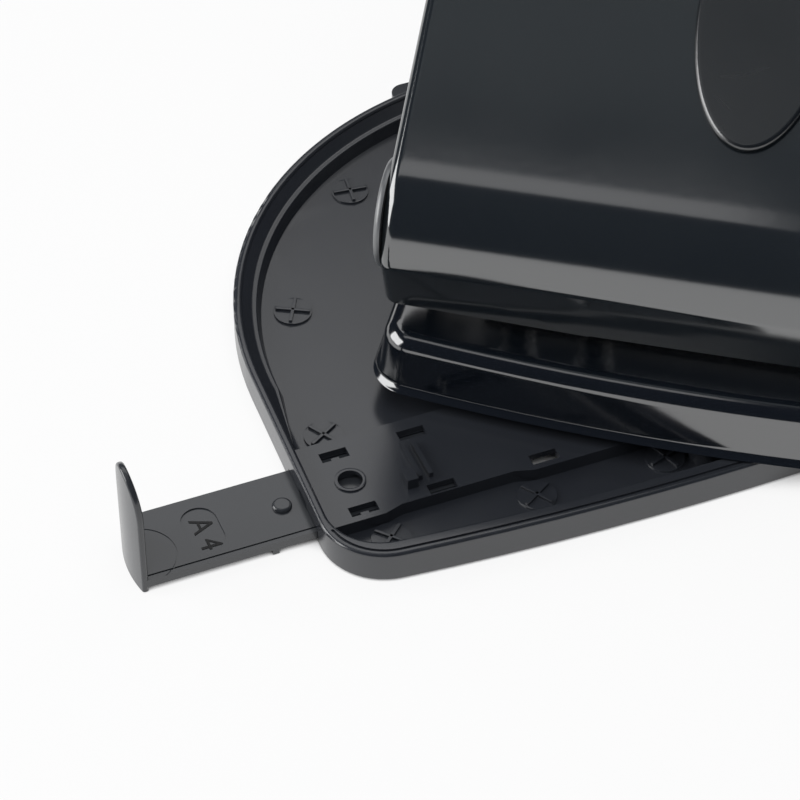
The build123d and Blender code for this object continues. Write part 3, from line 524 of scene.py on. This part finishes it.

# Return springs, closed up and softened, each on a mesh of its own

springLook = {**copyLook, "count": 4, "joint": "pin_press", "travel": 8.65 * mm, "body": "bed",
              "slot": "spring_steel", "sharp": 60}
for number in range(1, springLook["count"] + 1):
    coil = smoothCopy(
        {**springLook, "node": "return_spring_%d" % number, "name": "springCoil%d" % number},
        finishes[springLook["slot"]])
    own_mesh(coil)

# Sloped shoulder inside the tray's back wall, running out along the sides

shoulderLook = {
    "centre": 61.0 * mm, "outer": 99.4 * mm, "edge": 95.2 * mm, "foot": 94.0 * mm, "ledge": 1.3 * mm,
    "bottom": 2.4 * mm, "edgeLevel": 6.2 * mm, "topLevel": 8.9 * mm,
    "run": 21.0 * mm, "flare": math.radians(2.5), "endWidth": 1.2 * mm,  # the straight ends
    "steps": 120, "join": 0.001 * mm, "round": 0.3 * mm, "roundSteps": 3, "sharp": 25,
}


def makeShoulder(look):
    bpy.ops.object.select_all(action="DESELECT")
    bpy.ops.mesh.primitive_plane_add()
    piece = bpy.context.object
    piece.name = "trayShoulder"
    out = look["run"] * math.tan(look["flare"])
    ledge = look["edge"] + look["ledge"] + out
    corners = ((look["outer"], look["bottom"]), (look["foot"], look["bottom"]),
               (look["outer"], look["topLevel"]), (look["edge"], look["edgeLevel"]))
    for vertex, (reach, level) in zip(piece.data.vertices, corners):
        vertex.co = (reach + out, look["centre"] - look["run"], level)
    bpy.ops.object.mode_set(mode="EDIT")
    bpy.ops.mesh.select_all(action="SELECT")
    bpy.ops.mesh.bisect(plane_co=(ledge, 0, 0), plane_no=(1, 0, 0))
    bpy.ops.object.mode_set(mode="OBJECT")
    for vertex in piece.data.vertices:  # the cut corner comes down level with the edge
        if abs(vertex.co.x - ledge) < look["round"] and vertex.co.z > look["edgeLevel"]:
            vertex.co.z = look["edgeLevel"]
    bpy.ops.object.mode_set(mode="EDIT")
    bpy.ops.mesh.select_all(action="SELECT")
    bpy.ops.mesh.extrude_region_move(TRANSFORM_OT_translate={"value": (-out, look["run"], 0)})
    bpy.ops.mesh.spin(steps=look["steps"], angle=-math.pi, center=(0, look["centre"], 0),
                      axis=(0, 0, 1))
    bpy.ops.mesh.extrude_region_move(TRANSFORM_OT_translate={"value": (-out, -look["run"], 0)})
    bpy.ops.mesh.select_all(action="SELECT")
    bpy.ops.mesh.remove_doubles(threshold=look["join"])
    bpy.ops.mesh.select_all(action="DESELECT")
    bpy.ops.mesh.select_interior_faces()
    bpy.ops.mesh.delete(type="FACE")
    bpy.ops.mesh.select_all(action="SELECT")
    bpy.ops.mesh.normals_make_consistent(inside=False)
    bpy.ops.object.mode_set(mode="OBJECT")
    half = look["outer"] + out - look["endWidth"]
    for vertex in piece.data.vertices:  # both ends run out against the wall
        if vertex.co.y < look["centre"] - look["run"] / 2 and abs(vertex.co.x) < half:
            vertex.co.x = math.copysign(half, vertex.co.x)
    piece.matrix_world = Matrix.Rotation(traySwing, 4, "Z")
    settle(piece)
    softenEdges(piece, look["round"], look["roundSteps"], look["sharp"])
    return piece


finishPiece(makeShoulder(shoulderLook), "tray", finishes["tray_plastic"])
print("shoulder made")

# Crosses on the round marks in the tray, standing proud of them

crossLook = {
    "places": ((10.4, 2.6, 18), (46.6, 2.6, 32), (86.8, 2.6, 42), (89.5, 43.4, 31),
               (79.93, 91.36, -29), (47.19, 132.30, -7)),  # across and back in mm, turn in degrees
    "level": 3.0 * mm, "height": 0.85 * mm, "width": 0.9 * mm, "length": 9.4 * mm,
    "round": 0.1 * mm, "roundSteps": 2, "sharp": 30,
}


def makeCrosses(look):
    bars = []
    middle = look["level"] + look["height"] / 2
    for across, back, turn in look["places"]:
        for side in (-1, 1):
            for quarter in (0, 90):
                bpy.ops.object.select_all(action="DESELECT")
                bpy.ops.mesh.primitive_cube_add(size=1)
                bar = bpy.context.object
                bar.matrix_world = (
                    Matrix.Rotation(traySwing, 4, "Z")
                    @ Matrix.Translation((side * across * mm, back * mm, middle))
                    @ Matrix.Rotation(math.radians(quarter - side * turn), 4, "Z")
                    @ Matrix.Diagonal((look["length"], look["width"], look["height"], 1)))
                settle(bar)
                bars.append(bar)
    pickOnly(bars[0])
    for bar in bars:
        bar.select_set(True)
    bpy.ops.object.join()
    bars[0].name = "markCrosses"
    softenEdges(bars[0], look["round"], look["roundSteps"], look["sharp"])
    return bars[0]


finishPiece(makeCrosses(crossLook), "tray", finishes["tray_plastic"])
print("crosses made")

# Paper size on the guide

sizeMarkLook = {"text": "A4", "height": 8.2 * mm, "thick": 0.12 * mm, "spacing": 1.5,
                "column": -130.4 * mm, "setback": 20.6 * mm, "level": 3.95 * mm}


def makeSizeMark(look):
    bpy.ops.object.select_all(action="DESELECT")
    bpy.ops.object.text_add()
    letters = bpy.context.object
    letters.name = "sizeMark"
    letters.data.body = look["text"]
    letters.data.size = look["height"]
    letters.data.align_x = "CENTER"
    letters.data.align_y = "CENTER"
    letters.data.extrude = look["thick"]
    letters.data.space_character = look["spacing"]
    bpy.ops.object.convert(target="MESH")
    letters.matrix_world = (
        Matrix.Rotation(traySwing, 4, "Z")
        @ Matrix.Translation((look["column"], look["setback"], look["level"]))
        @ Matrix.Rotation(-math.pi / 2, 4, "Z"))
    settle(letters)
    return letters


letterFinish = plasticFinish("letterInk", {
    "grain": 2200.0, "gloss": 0.5, "spread": 0.05, "handling": 0.05, "bump": 0.1,
    "depth": 0.00005, "ior": 1.5, "dust": (0.06, 0.06, 0.06, 1),
    "dark": (0.006, 0.006, 0.0065, 1), "light": (0.009, 0.009, 0.0095, 1)})
finishPiece(makeSizeMark(sizeMarkLook), "guide", letterFinish)
print("paper size marked")

# Studio

# reach, shut and open set the painted shade that fades the floor's glow near and under the tray
floorLook = {"size": 8.0, "colour": (0.9, 0.9, 0.9, 1), "dull": 0.9, "shine": 0.0,
             "glow": (1, 1, 1, 1), "lift": 0.88, "reach": 0.03, "shut": 0.10, "open": 0.45}


def makeFloor(look):
    bpy.ops.object.select_all(action="DESELECT")
    bpy.ops.mesh.primitive_plane_add(size=look["size"])
    floor = bpy.context.object
    floor.name = "studioFloor"
    material = bpy.data.materials.new("studioPaper")
    material.use_nodes = True
    tree = material.node_tree
    shader = tree.nodes["Principled BSDF"]
    feed(tree, shader.inputs["Base Color"], look["colour"])
    feed(tree, shader.inputs["Roughness"], look["dull"])
    feed(tree, shader.inputs["Specular IOR Level"], look["shine"])
    glow = tree.nodes.new("ShaderNodeEmission")
    feed(tree, glow.inputs["Color"], look["glow"])
    path = tree.nodes.new("ShaderNodeLightPath").outputs
    occlusionShade = tree.nodes.new("ShaderNodeAmbientOcclusion")  # painted shade: the floor's glow dies where it is hemmed in, dark under the tray and seen through its slots, with a soft painted contact shadow near its edges
    feed(tree, occlusionShade.inputs["Distance"], look["reach"])
    clear = rangeNode(tree, occlusionShade.outputs["AO"], look["shut"], look["open"], 0.0, look["lift"])
    seen = mathNode(tree, "MAXIMUM", path["Is Camera Ray"], path["Is Glossy Ray"])
    mix = tree.nodes.new("ShaderNodeMixShader")
    feed(tree, mix.inputs["Fac"], mathNode(tree, "MULTIPLY", seen, clear))
    feed(tree, mix.inputs[1], shader.outputs["BSDF"])
    feed(tree, mix.inputs[2], glow.outputs["Emission"])
    feed(tree, tree.nodes["Material Output"].inputs["Surface"], mix.outputs["Shader"])
    floor.data.materials.append(material)


def makeLamp(look):
    bpy.ops.object.light_add(type="AREA", location=look["place"])
    lamp = bpy.context.object
    wide, deep = look["size"]
    lamp.name = look["name"]
    lamp.data.shape = "RECTANGLE"
    lamp.data.size = wide
    lamp.data.size_y = deep
    lamp.data.energy = look["bright"] * math.pi * wide * deep
    lamp.data.color = look["colour"]
    lamp.visible_glossy = look["mirrored"]
    aim = Vector(look["aim"]) - Vector(look["place"])
    lamp.rotation_euler = aim.to_track_quat("-Z", "Y").to_euler()


def makeWorld(look):
    world = bpy.data.worlds.new("studioSurround")
    bpy.context.scene.world = world
    world.use_nodes = True
    tree = world.node_tree
    path = tree.nodes.new("ShaderNodeLightPath").outputs
    seen = mathNode(tree, "MAXIMUM", path["Is Camera Ray"], path["Is Transmission Ray"])
    shown = mixColour(tree, seen, look["room"], look["paper"])
    feed(tree, tree.nodes["Background"].inputs["Color"], shown)


lampLook = {"colour": (1.0, 1.0, 1.0), "mirrored": True}
lamps = [
    {**lampLook, "name": "backSoftbox", "place": (-0.17, 0.75, 1.12), "aim": (0, 0.02, 0.02),
     "size": (1.5, 0.85), "bright": 1.05},
    {**lampLook, "name": "leftSoftbox", "place": (-1.05, -0.30, 0.42), "aim": (0, 0, 0.03),
     "size": (0.95, 0.72), "bright": 4.2},
    {**lampLook, "name": "stripSoftbox", "place": (-0.40, -0.245, 1.20), "aim": (-0.40, -0.245, 0.0),
     "size": (0.7, 0.25), "bright": 0.62},
    {**lampLook, "name": "ceiling", "place": (0.0, 0.20, 1.5), "aim": (0, 0.20, 0),
     "size": (1.8, 0.6), "bright": 0.12, "colour": (0.92, 1.0, 1.0)},
    {**lampLook, "name": "overheadFill", "place": (0.1, -0.5, 1.5), "aim": (0, 0.03, 0.03),
     "size": (1.4, 1.4), "bright": 2.3, "mirrored": False},
]
worldLook = {"room": (0.022, 0.025, 0.034, 1), "paper": (1, 1, 1, 1)}
makeFloor(floorLook)
for look in lamps:
    makeLamp(look)
makeWorld(worldLook)

cameraLook = {"place": (0.0520, -0.6032, 0.6025), "forward": (-0.155, 0.702, -0.695),
              "lens": 147.08, "sensor": 36.0, "nearest": 0.01}
bpy.ops.object.camera_add(location=cameraLook["place"])
camera = bpy.context.object
camera.rotation_euler = Vector(cameraLook["forward"]).to_track_quat("-Z", "Y").to_euler()
camera.data.lens = cameraLook["lens"]
camera.data.sensor_width = cameraLook["sensor"]
camera.data.clip_start = cameraLook["nearest"]
bpy.context.scene.camera = camera
bpy.context.scene.view_settings.view_transform = "Standard"
print("studio set")
